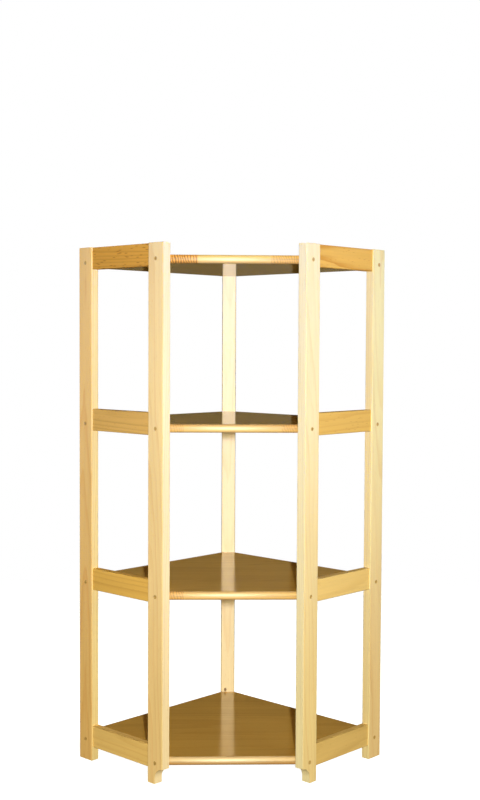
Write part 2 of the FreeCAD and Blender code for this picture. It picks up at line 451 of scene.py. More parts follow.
@dataclass(frozen=True)
class Nose:
    """How a rounded edge shines: its fibres spread a highlight across them.

    Attributes:
        roughness: The roughness, which is another one on the flat faces.
        shine: How much light the varnish mirrors, also another one there.
        streaking: How far the highlight is drawn out.
        across: The way it is drawn out.
    """

    roughness: Socket
    shine: Socket
    streaking: Socket
    across: Socket


@dataclass(frozen=True)
class Pine:
    """Varnished pine of one tone.

    Attributes:
        early: The pale wood between the lines.
        late: The dark wood of the lines.
        ring_width: How far apart the lines lie where the saw crossed them squarely.
        contrast: How much of the dark wood shows in the lines.
        waver: How far the lines wander.
        flecks: How strong the short dark dashes are.
        narrow: What the colour is multiplied by on the faces across the wide ones; this is painted light, for
            how the lamps fall on those faces, over the other wood that they show.
        foot: What it is multiplied by on the wide faces down towards the floor: a painted shade that darkens
            and warms them there.
        edge: What it is multiplied by on the eased edges: painted shade, as they turn away from the lamps.
        varnish: The varnish over the wood.
    """

    early: Colour
    late: Colour
    ring_width: float = 0.0045
    contrast: float = 0.6
    waver: float = 0.02
    flecks: float = 0.25
    narrow: tuple[float, float, float] = NO_TINT
    foot: tuple[float, float, float] = NO_TINT
    edge: tuple[float, float, float] = (0.78, 0.76, 0.70)
    varnish: Varnish = field(default_factory=Varnish)

    KNOT_COLOUR = Colour(112, 64, 10)

    # How squarely a face looks the wide face's way where the tints change
    CORNER_TURNS = ((0.15, 0.4), (0.85, 0.97))
    END_START = 0.75
    END_FULL = 0.92

    # The heights between which the painted shade towards the floor comes in
    FOOT_SHADE_HEIGHTS = (1.0, 0.1)
    SIDE_KNOT_SHARE = 0.85

    def material(
        self, name: str, cut: Cut, middle: Vector, wood: "WoodShop", knots: tuple[Knot, ...] = ()
    ) -> bpy.types.Material:
        """Makes the material of one bar.

        Args:
            name: The material's name.
            cut: How the bar was sawn.
            middle: The middle of the bar.
            wood: The shared groups of nodes.
            knots: The knots that show on it.

        Returns:
            The material.
        """
        material, sheet = new_material(name)
        turn, shift = cut.frame_at(middle)
        seen = sheet.node("ShaderNodeTexCoord").outputs
        mapping = {"Vector": seen["Object"], "Location": shift, "Rotation": turn.to_euler()}
        place = sheet.node("ShaderNodeMapping", mapping).outputs[0]
        slant = sheet.math("ABSOLUTE", sheet.dot(seen["Normal"], turn.row[0]))
        end = sheet.ramp(slant, self.END_START, self.END_FULL)
        centres = [(turn @ knot.centre + shift, knot.radius) for knot in knots]
        share = sheet.math("ABSOLUTE", sheet.dot(seen["Normal"], cut.face))
        # Painted light on the faces across the wide ones, and painted shade on the eased edges
        leaving, reaching = self.CORNER_TURNS
        corner = sheet.blend(sheet.ramp(share, *leaving), (*self.narrow, 1.0), (*self.edge, 1.0))
        # Painted shade on the wide faces, darker and warmer towards the floor
        height = sheet.node("ShaderNodeSeparateXYZ", {"Vector": seen["Object"]}).outputs["Z"]
        wide = sheet.blend(sheet.ramp(height, *self.FOOT_SHADE_HEIGHTS), WHITE, (*self.foot, 1.0))
        tint = sheet.blend(sheet.ramp(share, *reaching), corner, wide)
        early = sheet.vector("MULTIPLY", tint, self.early.linear()[:3])
        late = sheet.vector("MULTIPLY", tint, self.late.linear()[:3])
        self.finish(sheet, wood, place, end, centres, early, late)
        return material

    def finish(
        self,
        sheet: NodeSheet,
        wood: "WoodShop",
        place: Socket,
        end: Value,
        knots: list[tuple[Vector, float]],
        early: Value,
        late: Value,
        nose: Nose | None = None,
    ) -> None:
        """Adds the wood, its knots and the varnish to a material.

        Args:
            sheet: The material's tree.
            wood: The shared groups of nodes.
            place: The place in the log.
            end: How far a face is an end of the bar.
            knots: The knots' centres in the log, and their radii.
            early: The pale wood, as it changes over the piece.
            late: The dark wood, as it changes over the piece.
            nose: How a rounded edge shines, where there is one.
        """
        core: Value = 0.0
        for centre, radius in knots:
            bend = sheet.node("ShaderNodeGroup", node_tree=wood.knot.group)
            sheet.feed(bend.inputs["Log Place"], place)
            sheet.feed(bend.inputs["Centre"], centre)
            sheet.feed(bend.inputs["Radius"], radius)
            place = bend.outputs["Log Place"]
            core = sheet.math("MAXIMUM", core, bend.outputs["Core"])
        grain = sheet.node("ShaderNodeGroup", node_tree=wood.grain.group)
        for socket, value in (
            ("Log Place", place),
            ("Early Wood", early),
            ("Late Wood", late),
            ("Ring Width", self.ring_width),
            ("Contrast", self.contrast),
            ("Waver", self.waver),
            ("Flecks", self.flecks),
            ("End", end),
            ("Roughness", self.varnish.roughness if nose is None else nose.roughness),
        ):
            sheet.feed(grain.inputs[socket], value)
        colour = grain.outputs["Colour"]
        if knots:
            share = sheet.math("MULTIPLY", core, self.SIDE_KNOT_SHARE)
            colour = sheet.blend(share, colour, self.KNOT_COLOUR.linear())
        felt = {"Height": grain.outputs["Height"], "Distance": 1.0, "Strength": 1.0}
        bump = sheet.node("ShaderNodeBump", felt)
        shader = sheet.node(
            "ShaderNodeBsdfPrincipled",
            {
                "Base Color": colour,
                "Roughness": grain.outputs["Roughness"],
                "Normal": bump.outputs[0],
                "Specular IOR Level": self.varnish.shine,
                "IOR": self.varnish.index,
            },
        )
        if nose is not None:
            sheet.feed(shader.inputs["Specular IOR Level"], nose.shine)
            sheet.feed(shader.inputs["Anisotropic"], nose.streaking)
            sheet.feed(shader.inputs["Tangent"], nose.across)
        sheet.surface(shader)


@dataclass(frozen=True)
class YellowZinc:
    """The yellowish plating of the screws."""

    colour: Colour = Colour(238, 205, 132)
    dull_colour: Colour = Colour(200, 164, 98)
    roughness: float = 0.50
    metallic: float = 0.4
    cloud_waves: float = 900.0

    def material(self, name: str) -> bpy.types.Material:
        """Makes the plating, a little cloudy as such plating is."""
        material, sheet = new_material(name)
        seen = sheet.node("ShaderNodeTexCoord").outputs["Object"]
        clouds = sheet.noise(sheet.vector("MULTIPLY", seen, (self.cloud_waves,) * 3))
        colour = sheet.blend(clouds, self.dull_colour.linear(), self.colour.linear())
        sockets = {"Base Color": colour, "Metallic": self.metallic, "Roughness": self.roughness}
        shader = sheet.node("ShaderNodeBsdfPrincipled", sockets)
        sheet.surface(shader)
        return material


class WoodShop:
    """The groups of nodes that all wooden pieces share."""

    def __init__(self) -> None:
        """Builds both groups."""
        self.grain = PineGrain()
        self.knot = KnotBend()


def middle_of(node: str) -> Vector:
    """The middle of a CAD node's box."""
    low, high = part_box(node)
    return (low + high) / 2


def dress(node: str, material: bpy.types.Material) -> None:
    """Gives a CAD node one material all over."""
    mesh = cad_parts[node].data
    mesh.materials.clear()
    mesh.materials.append(material)
    log.info("%s: %s", node, material.name)


@dataclass
class Bar:
    """A post or a rail, which keeps its CAD shape and gets its wood."""

    node: str
    finish: Pine
    cut: Cut
    knots: tuple[Knot, ...] = ()

    def dress(self, wood: WoodShop) -> None:
        """Gives the bar its wood."""
        material = self.finish.material(
            self.node + "_pine", self.cut, middle_of(self.node), wood, self.knots
        )
        dress(self.node, material)


@dataclass
class Camera:
    """The photographer's place and aim, worked out from the shelf's edges in the photograph."""

    place: tuple[float, float, float] = (-0.0660, -2.8062, 0.9305)
    aim_right: float = 0.0307
    aim_up: float = -0.0458
    roll: float = 0.0048
    focal_pixels: float = 1226.7
    image_height: float = 800.0
    sensor: float = 36.0

    def build(self) -> bpy.types.Object:
        """Makes the camera and sets it as the scene's.

        Returns:
            The camera.
        """
        data = bpy.data.cameras.new("camera")
        data.sensor_fit = "AUTO"
        data.sensor_width = self.sensor
        data.lens = self.focal_pixels / self.image_height * self.sensor
        camera = add_object("camera", data)
        forward = Vector(
            (
                math.sin(self.aim_right) * math.cos(self.aim_up),
                math.cos(self.aim_right) * math.cos(self.aim_up),
                math.sin(self.aim_up),
            )
        )
        level_right = Vector((math.cos(self.aim_right), -math.sin(self.aim_right), 0))
        level_up = level_right.cross(forward)
        right = math.cos(self.roll) * level_right + math.sin(self.roll) * level_up
        up = -math.sin(self.roll) * level_right + math.cos(self.roll) * level_up
        turn = Matrix((right, up, -forward)).transposed().to_4x4()
        camera.matrix_world = Matrix.Translation(self.place) @ turn
        bpy.context.scene.camera = camera
        return camera


@dataclass(frozen=True)
class GluedPine:
    """Pine glued up from staves that run along the board's front edge.

    The front stave is pieced from three lengths, and its two end lengths are of darker,
    curly wood.

    Attributes:
        pine: The wood of the staves.
        stave_width: The width of one stave.
        tone_spread: How much the staves differ in shade.
        curl_early: The pale wood of the end lengths.
        curl_late: The dark wood of the end lengths.
        nose_depth: How far back from the front edge the rounding goes.
        nose_blend: Over what depth the wood of the front edge changes, and over what height its painted light
            changes.
        nose_roughness: How rough the rounded wood is, where the varnish is thinner.
        nose_shine: How much light its varnish mirrors.
        nose_streaking: How far its fibres draw out a highlight.
    """

    pine: Pine
    stave_width: float = 0.058
    tone_spread: float = 0.17
    curl_early: Colour = Colour(226, 160, 58)
    curl_late: Colour = Colour(146, 88, 6)
    nose_depth: float = 0.009
    nose_blend: tuple[float, float] = (0.0018, 0.004)
    nose_roughness: float = 0.32
    nose_shine: float = 0.27
    nose_streaking: float = 1.0

    HEART = 0.045
    HEART_SPREAD = 0.03
    LEAN_SPREAD = 0.06
    LOG_LENGTH = 3.0
    GLUE_LINE = 0.00035
    GLUE_SHADE = 0.75

    # The front edge's own way, and the dark ticks for each metre of it and of its height
    ALONG = (1.0, 0.0, 0.0)
    TICKS = Vector((370.0, 0.0, 110.0))
    TICK_BEND = 3.6
    TICK_WAVES = (60.0, 60.0, 60.0)
    TICK_EDGES = (0.25, 0.75)
    JOINT_BLUR = 0.0006

    def material(self, name: str, board: "Board", wood: WoodShop) -> bpy.types.Material:
        """Makes the material of one board.

        Args:
            name: The material's name.
            board: The board, for its front edge, its middle and its joints.
            wood: The shared groups of nodes.

        Returns:
            The material.
        """
        material, sheet = new_material(name)
        low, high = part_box(board.node)
        seen = sheet.node("ShaderNodeTexCoord").outputs["Object"]
        x, y, z = sheet.node("ShaderNodeSeparateXYZ", {0: seen}).outputs
        row = sheet.math("DIVIDE", sheet.math("SUBTRACT", y, low.y), self.stave_width)
        index = sheet.math("FLOOR", row)
        dice = {"W": sheet.math("ADD", index, board.seed)}
        luck = sheet.node("ShaderNodeTexWhiteNoise", dice, noise_dimensions="1D").outputs["Color"]
        start_luck, lean_luck, heart_luck = sheet.node("ShaderNodeSeparateColor", {0: luck}).outputs
        nose_start = low.y + self.nose_depth
        deep, high_up = self.nose_blend
        middle = (low + high) / 2
        rounded = sheet.ramp(y, nose_start, nose_start - deep)
        # Painted light on the rounded front edge: over its middle it takes another colour than under it
        above = sheet.ramp(z, middle.z - high_up, middle.z + high_up)
        nose_wood_and_painted_light = sheet.blend(above, board.edge.lower.linear(), board.edge.upper.linear())
        curly = sheet.math("MULTIPLY", rounded, self._beyond_joints(sheet, x, board))
        place = self._log_place(sheet, (x, y, z), row, (start_luck, lean_luck, heart_luck), middle)
        darkest = board.edge.tone - self.tone_spread / 2
        tone = sheet.math("MULTIPLY_ADD", lean_luck, self.tone_spread, darkest)
        toned = sheet.math("MULTIPLY", tone, self._glue_shade(sheet, row))
        plain_early = sheet.blend(rounded, self.pine.early.linear(), nose_wood_and_painted_light)
        curl = sheet.blend(self._ticks(sheet, seen), self.curl_late.linear(), self.curl_early.linear())
        early = sheet.blend(curly, plain_early, curl)
        plain_late = sheet.blend(rounded, self.pine.late.linear(), board.edge.lower.linear())
        late = sheet.blend(curly, plain_late, self.curl_late.linear())
        early = sheet.vector("MULTIPLY", early, toned)
        normal = sheet.node("ShaderNodeNewGeometry").outputs["Normal"]
        nose = Nose(
            roughness=sheet.ramp(rounded, 0, 1, self.pine.varnish.roughness, self.nose_roughness),
            shine=sheet.ramp(rounded, 0, 1, self.pine.varnish.shine, self.nose_shine),
            streaking=sheet.math("MULTIPLY", rounded, self.nose_streaking),
            across=sheet.vector("CROSS_PRODUCT", self.ALONG, normal),
        )
        self.pine.finish(sheet, wood, place, 0.0, [], early, late, nose)
        return material

    def _beyond_joints(self, sheet: NodeSheet, x: Socket, board: "Board") -> Socket:
        """How curly a place along the front edge is, past one of its two joints."""
        left, right = board.edge.joints
        left_curl, right_curl = board.edge.curl
        before = sheet.ramp(x, left, left - self.JOINT_BLUR, 0, left_curl)
        after = sheet.ramp(x, right, right + self.JOINT_BLUR, 0, right_curl)
        return sheet.math("MAXIMUM", before, after)

    def _log_place(self, sheet: NodeSheet, seen: tuple, row: Socket, luck: tuple, middle: Vector) -> Socket:
        """The place in the log, which every stave has of its own."""
        x, y, z = seen
        start_luck, lean_luck, heart_luck = luck
        along = sheet.math("MULTIPLY_ADD", start_luck, self.LOG_LENGTH, x)
        in_stave = sheet.math("SUBTRACT", sheet.math("FRACT", row), heart_luck)
        across = sheet.math("MULTIPLY", in_stave, self.stave_width)
        heart = sheet.math("MULTIPLY_ADD", heart_luck, self.HEART_SPREAD, self.HEART)
        depth = sheet.math("ADD", sheet.math("SUBTRACT", z, middle.z), heart)
        lean = sheet.math("MULTIPLY", sheet.math("SUBTRACT", lean_luck, 0.5), self.LEAN_SPREAD)
        leaning = sheet.math("MULTIPLY_ADD", x, lean, depth)
        return sheet.node("ShaderNodeCombineXYZ", {0: along, 1: across, 2: leaning}).outputs[0]

    def _ticks(self, sheet: NodeSheet, seen: Socket) -> Socket:
        """Fine slanting ticks, pale and dark by turns, as curly wood shows on a rounded edge."""
        bend = sheet.noise(sheet.vector("MULTIPLY", seen, self.TICK_WAVES))
        turns = sheet.math("MULTIPLY_ADD", bend, self.TICK_BEND, sheet.dot(seen, self.TICKS))
        return sheet.ramp(sheet.math("PINGPONG", turns, 1), *self.TICK_EDGES)

    def _glue_shade(self, sheet: NodeSheet, row: Socket) -> Socket:
        """A thin darker line where two staves meet."""
        part = sheet.math("FRACT", row)
        edge = sheet.math("MINIMUM", part, sheet.math("SUBTRACT", 1, part))
        return sheet.ramp(edge, 0, self.GLUE_LINE / self.stave_width, self.GLUE_SHADE, 1)


@dataclass(frozen=True)
class FrontEdge:
    """The wood of one board's rounded front edge, which is pieced from three lengths.

    Attributes:
        joints: Where the middle length ends, left and right.
        curl: How curly the lengths left and right of it are.
        upper: The wood over the middle of the edge; its difference from the wood under it is painted light, a
            painted highlight on the bottom board and painted shade on the others.
        lower: The wood under it.
        tone: How light the whole board's wood is against the others'.
    """

    joints: tuple[float, float]
    curl: tuple[float, float]
    upper: Colour
    lower: Colour
    tone: float = 1.0


@dataclass
class Board:
    """A board, which keeps its CAD shape and gets its staves.

    Attributes:
        level: Which board it is.
        finish: Its wood.
        seed: Where its staves' chances start.
        edge: The wood of its rounded front edge.
    """

    level: Level
    finish: GluedPine
    seed: float
    edge: FrontEdge

    @property
    def node(self) -> str:
        """The board's CAD node."""
        return self.level.value + "_board"

    def dress(self, wood: WoodShop) -> None:
        """Gives the board its wood."""
        dress(self.node, self.finish.material(self.node + "_pine", self, wood))


@dataclass
class ScrewKit:
    """Countersunk wood screws with a cross recess, made by one tree of Geometry Nodes.

    All lengths are in metres. Each screw starts at a point of a bare mesh and looks along
    that point's way; it stays inside the CAD screw that it stands for.
    """

    head_radius: float = 0.0042
    head_rim: float = 0.0004
    shank_radius: float = 0.00225
    core_radius: float = 0.0016
    plain_length: float = 0.021
    length: float = 0.050
    tip: float = 0.004
    tip_radius: float = 0.0001
    pitch: float = 0.0022
    thread_height: float = 0.0006
    recess_span: float = 0.0046
    recess_width: float = 0.0011
    recess_depth: float = 0.0019
    recess_ease: float = 0.96
    sides: int = 32
    turn_steps: int = 14
    seed: int = 7
    finish: YellowZinc = field(default_factory=YellowZinc)

    WAY = "way"
    RIDGE_SIDES = 3
    SHARP_ANGLE = math.radians(35)

    def __post_init__(self) -> None:
        """Builds the tree and the plating once for all boards."""
        self.plating = self.finish.material("yellow_zinc")
        self.tree = self._build_tree()

    def _inputs(self) -> dict[str, tuple[str, object]]:
        """The tree's inputs by name, which are this class's numbers: the kind and value of each."""
        given: dict[str, tuple[str, object]] = {"Plating": ("Material", self.plating)}
        for one in fields(self):
            value = getattr(self, one.name)
            if isinstance(value, int | float):
                kind = "Int" if isinstance(value, int) else "Float"
                given[one.name.replace("_", " ").title()] = (kind, value)
        return given

    def _build_tree(self) -> bpy.types.GeometryNodeTree:
        """Builds the tree: one screw, a copy at each point, all made real."""
        tree = bpy.data.node_groups.new("countersunk screws", "GeometryNodeTree")
        tree.interface.new_socket(name="Geometry", in_out="INPUT", socket_type="NodeSocketGeometry")
        tree.interface.new_socket(name="Geometry", in_out="OUTPUT", socket_type="NodeSocketGeometry")
        for name, (kind, _) in self._inputs().items():
            tree.interface.new_socket(name=name, in_out="INPUT", socket_type="NodeSocket" + kind)
        sheet = NodeSheet(tree)
        taken = sheet.node("NodeGroupInput").outputs
        body = self._recessed(sheet, taken, self._turned_body(sheet, taken))
        joined = sheet.node("GeometryNodeJoinGeometry")
        for part in (body, self._thread(sheet, taken)):
            tree.links.new(part, joined.inputs[0])
        way = sheet.node("GeometryNodeInputNamedAttribute", {"Name": self.WAY}, data_type="FLOAT_VECTOR")
        aimed = sheet.node("FunctionNodeAlignRotationToVector", {"Vector": way.outputs[0]}, axis="Z")
        chance = sheet.node("FunctionNodeRandomValue", data_type="FLOAT")
        sheet.feed(chance.inputs["Seed"], taken["Seed"])
        for socket in chance.inputs:
            if socket.type == "VALUE" and socket.name == "Max":
                socket.default_value = math.tau
        spin = sheet.node("ShaderNodeCombineXYZ", {2: chance.outputs[1]}).outputs[0]
        spun = sheet.node("FunctionNodeEulerToRotation", {0: spin}).outputs[0]
        turned = sheet.node(
            "FunctionNodeRotateRotation", {0: aimed.outputs[0], 1: spun}, rotation_space="LOCAL"
        )
        copies = sheet.node(
            "GeometryNodeInstanceOnPoints",
            {"Points": taken["Geometry"], "Instance": joined.outputs[0], "Rotation": turned.outputs[0]},
        )
        real = sheet.node("GeometryNodeRealizeInstances", {0: copies.outputs[0]})
        plated = sheet.node("GeometryNodeSetMaterial", {0: real.outputs[0], "Material": taken["Plating"]})
        sheet.node("NodeGroupOutput", {0: plated.outputs[0]})
        return tree

    def _turned_body(self, sheet: NodeSheet, taken: bpy.types.NodeOutputs) -> Socket:
        """The head, shank, core and tip as one turned shape along +Z."""
        neck = sheet.math(
            "ADD", taken["Head Rim"], sheet.math("SUBTRACT", taken["Head Radius"], taken["Shank Radius"])
        )
        step = sheet.math("SUBTRACT", taken["Shank Radius"], taken["Core Radius"])
        core_start = sheet.math("ADD", taken["Plain Length"], step)
        tip_start = sheet.math("SUBTRACT", taken["Length"], taken["Tip"])
        outline = (
            (0.0, taken["Head Radius"]),
            (taken["Head Rim"], taken["Head Radius"]),
            (neck, taken["Shank Radius"]),
            (taken["Plain Length"], taken["Shank Radius"]),
            (core_start, taken["Core Radius"]),
            (tip_start, taken["Core Radius"]),
            (taken["Length"], taken["Tip Radius"]),
        )
        line = sheet.node("GeometryNodeCurvePrimitiveLine").outputs[0]
        path = sheet.node("GeometryNodeResampleCurve", {"Curve": line, "Count": len(outline)}).outputs[0]
        depth = self._by_index(sheet, [depth for depth, _ in outline])
        radius = self._by_index(sheet, [radius for _, radius in outline])
        place = sheet.node("ShaderNodeCombineXYZ", {2: depth}).outputs[0]
        placed = sheet.node("GeometryNodeSetPosition", {"Geometry": path, "Position": place}).outputs[0]
        ring = sheet.node("GeometryNodeCurvePrimitiveCircle", {"Resolution": taken["Sides"], "Radius": 1.0})
        return self._swept(sheet, placed, ring.outputs[0], radius)

    def _swept(self, sheet: NodeSheet, path: Socket, profile: Socket, radius: Value) -> Socket:
        """A closed mesh swept along a path, as thick as a radius says."""
        sized = sheet.node("GeometryNodeSetCurveRadius", {"Curve": path, "Radius": radius}).outputs[0]
        sockets = {"Curve": sized, "Profile Curve": profile, "Fill Caps": True}
        swept = sheet.node("GeometryNodeCurveToMesh", sockets)
        if "Scale" in swept.inputs:
            sheet.feed(swept.inputs["Scale"], sheet.node("GeometryNodeInputRadius").outputs[0])
        return swept.outputs[0]

    def _by_index(self, sheet: NodeSheet, values: list[Value]) -> Socket:
        """The value that belongs to each point of a path, in order."""
        chooser = sheet.node("GeometryNodeIndexSwitch", data_type="FLOAT")
        while len(chooser.index_switch_items) < len(values):
            chooser.index_switch_items.new()
        sheet.feed(chooser.inputs["Index"], sheet.node("GeometryNodeInputIndex").outputs[0])
        for number, value in enumerate(values):
            sheet.feed(chooser.inputs[number + 1], value)
        return chooser.outputs[0]

    def _recessed(self, sheet: NodeSheet, taken: bpy.types.NodeOutputs, body: Socket) -> Socket:
        """The body with a cross cut into its head, the second slot a little shallower."""
        depth = sheet.math("MULTIPLY", taken["Recess Depth"], 2)
        shallower = sheet.math("MULTIPLY", depth, taken["Recess Ease"])
        for sizes in (
            (taken["Recess Span"], taken["Recess Width"], depth),
            (taken["Recess Width"], taken["Recess Span"], shallower),
        ):
            size = sheet.node("ShaderNodeCombineXYZ", dict(enumerate(sizes))).outputs[0]
            cube = sheet.node("GeometryNodeMeshCube", {"Size": size}).outputs[0]
            cut = sheet.node("GeometryNodeMeshBoolean", operation="DIFFERENCE", solver="EXACT")
            sheet.tree.links.new(body, cut.inputs["Mesh 1"])
            sheet.tree.links.new(cube, cut.inputs["Mesh 2"])
            body = cut.outputs[0]
        return body

    def _thread(self, sheet: NodeSheet, taken: bpy.types.NodeOutputs) -> Socket:
        """The thread, a three-sided ridge that winds round the core."""
        threaded = sheet.math(
            "SUBTRACT", sheet.math("SUBTRACT", taken["Length"], taken["Tip"]), taken["Plain Length"]
        )
        sockets = {
            "Resolution": taken["Turn Steps"],
            "Rotations": sheet.math("DIVIDE", threaded, taken["Pitch"]),
            "Start Radius": taken["Core Radius"],
            "End Radius": taken["Core Radius"],
            "Height": threaded,
        }
        spiral = sheet.node("GeometryNodeCurveSpiral", sockets).outputs[0]
        shift = sheet.node("ShaderNodeCombineXYZ", {2: taken["Plain Length"]}).outputs[0]
        placed = sheet.node("GeometryNodeSetPosition", {"Geometry": spiral, "Offset": shift}).outputs[0]
        sides = {"Resolution": self.RIDGE_SIDES, "Radius": 1.0}
        ridge = sheet.node("GeometryNodeCurvePrimitiveCircle", sides)
        return self._swept(sheet, placed, ridge.outputs[0], taken["Thread Height"])

    def build(self, level: Level, plan: "Plan") -> bpy.types.Object:
        """Makes the five screws of one board in place of their CAD node.

        Args:
            level: The board's level.
            plan: Where the screws start.

        Returns:
            The piece that holds all five.
        """
        starts = plan.screw_starts(level)
        mesh = bpy.data.meshes.new(level.value + "_screws")
        mesh.from_pydata([place for place, _ in starts], [], [])
        ways = mesh.attributes.new(self.WAY, "FLOAT_VECTOR", "POINT")
        for number, (_, way) in enumerate(starts):
            ways.data[number].vector = way
        piece = add_object(level.value + "_screws", mesh)
        modifier = piece.modifiers.new("screws", "NODES")
        modifier.node_group = self.tree
        sockets = self.tree.interface.items_tree
        names = {item.name: item.identifier for item in sockets if item.in_out == "INPUT"}
        for name, (_, value) in self._inputs().items():
            modifier[names[name]] = value
        modifier[names["Seed"]] = self.seed + list(Level).index(level)
        bake(piece)
        piece.data.set_sharp_from_angle(angle=self.SHARP_ANGLE)
        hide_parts(level.value + "_board_screws")
        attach(piece, "root")
        log.info("%s: %d faces", piece.name, len(piece.data.polygons))
        return piece


def bake(piece: bpy.types.Object) -> None:
    """Turns what a piece's modifiers make into its plain mesh, and takes them off."""
    graph = bpy.context.evaluated_depsgraph_get()
    mesh = bpy.data.meshes.new_from_object(piece.evaluated_get(graph))
    mesh.name = piece.name
    piece.modifiers.clear()
    piece.data = mesh
    for polygon in mesh.polygons:
        polygon.use_smooth = True


@dataclass(frozen=True)
class Plan:
    """Where things lie in plan, as distances from the corner of the room along its walls."""

    wall_post_outer: float = 0.480
    front_post_outer: float = 0.482
    frame_depth: float = 0.2725
    wall_post_width: float = 0.042
    front_post_width: float = 0.045
    screw_sink: float = 0.0002
    back_post_behind_corner: float = 0.001

    @property
    def corner_y(self) -> float:
        """How far behind the origin the corner of the room lies."""
        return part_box("back_post")[1].y - self.back_post_behind_corner

    def point(self, along_left: float, along_right: float, height: float) -> Vector:
        """A point of the shelf from its distances along the two walls."""
        sideways = (along_right - along_left) * DIAGONAL
        forwards = (along_left + along_right) * DIAGONAL
        return Vector((sideways, self.corner_y - forwards, height))

    def screw_starts(self, level: Level) -> list[tuple[Vector, Vector]]:
        """Where the screws of one board lie, each with the way it was driven."""
        height = middle_of(level.value + "_board").z
        middles = (
            (self.wall_post_outer, self.wall_post_width / 2),
            (self.front_post_outer, self.frame_depth - self.front_post_width / 2),
        )
        starts = []
        for side in Side:
            for outer, middle in middles:
                left = self.point(outer, middle, height)
                place = Vector((left.x * -side.value, left.y, left.z))
                starts.append((place, -side.outward))
        back = Vector((0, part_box("back_post")[1].y, height))
        starts.append((back, FORWARD))
        return [(place + self.screw_sink * way, way) for place, way in starts]


FLASH = Colour(255, 248, 218)
DAYLIGHT = Colour(240, 246, 255)
BLUE = Colour(39, 108, 255)


@dataclass(frozen=True)
class SoftLamp:
    """One flat lamp that looks at a point of the shelf.

    Attributes:
        name: The lamp's name.
        place: Where it hangs.
        aim: The point that it looks at.
        size: Its width and height.
        power: Its power in watts.
        colour: The colour of its light.
        spread: How wide it throws its light, in degrees.
        glints: Whether the varnish mirrors it.
    """

    name: str
    place: tuple[float, float, float]
    aim: tuple[float, float, float]
    size: tuple[float, float]
    power: float
    colour: Colour
    spread: float
    glints: bool = False

    def build(self) -> None:
        """Makes the lamp, out of the camera's sight; one without glints lights matt wood only."""
        data = bpy.data.lights.new(self.name, "AREA")
        data.shape = "RECTANGLE"
        data.size, data.size_y = self.size
        data.energy = self.power
        data.color = self.colour.linear()[:3]
        data.spread = math.radians(self.spread)
        lamp = add_object(self.name, data)
        look = Vector(self.aim) - Vector(self.place)
        turn = look.to_track_quat("-Z", "Y").to_matrix().to_4x4()
        lamp.matrix_world = Matrix.Translation(self.place) @ turn
        lamp.visible_camera = False
        lamp.visible_glossy = self.glints


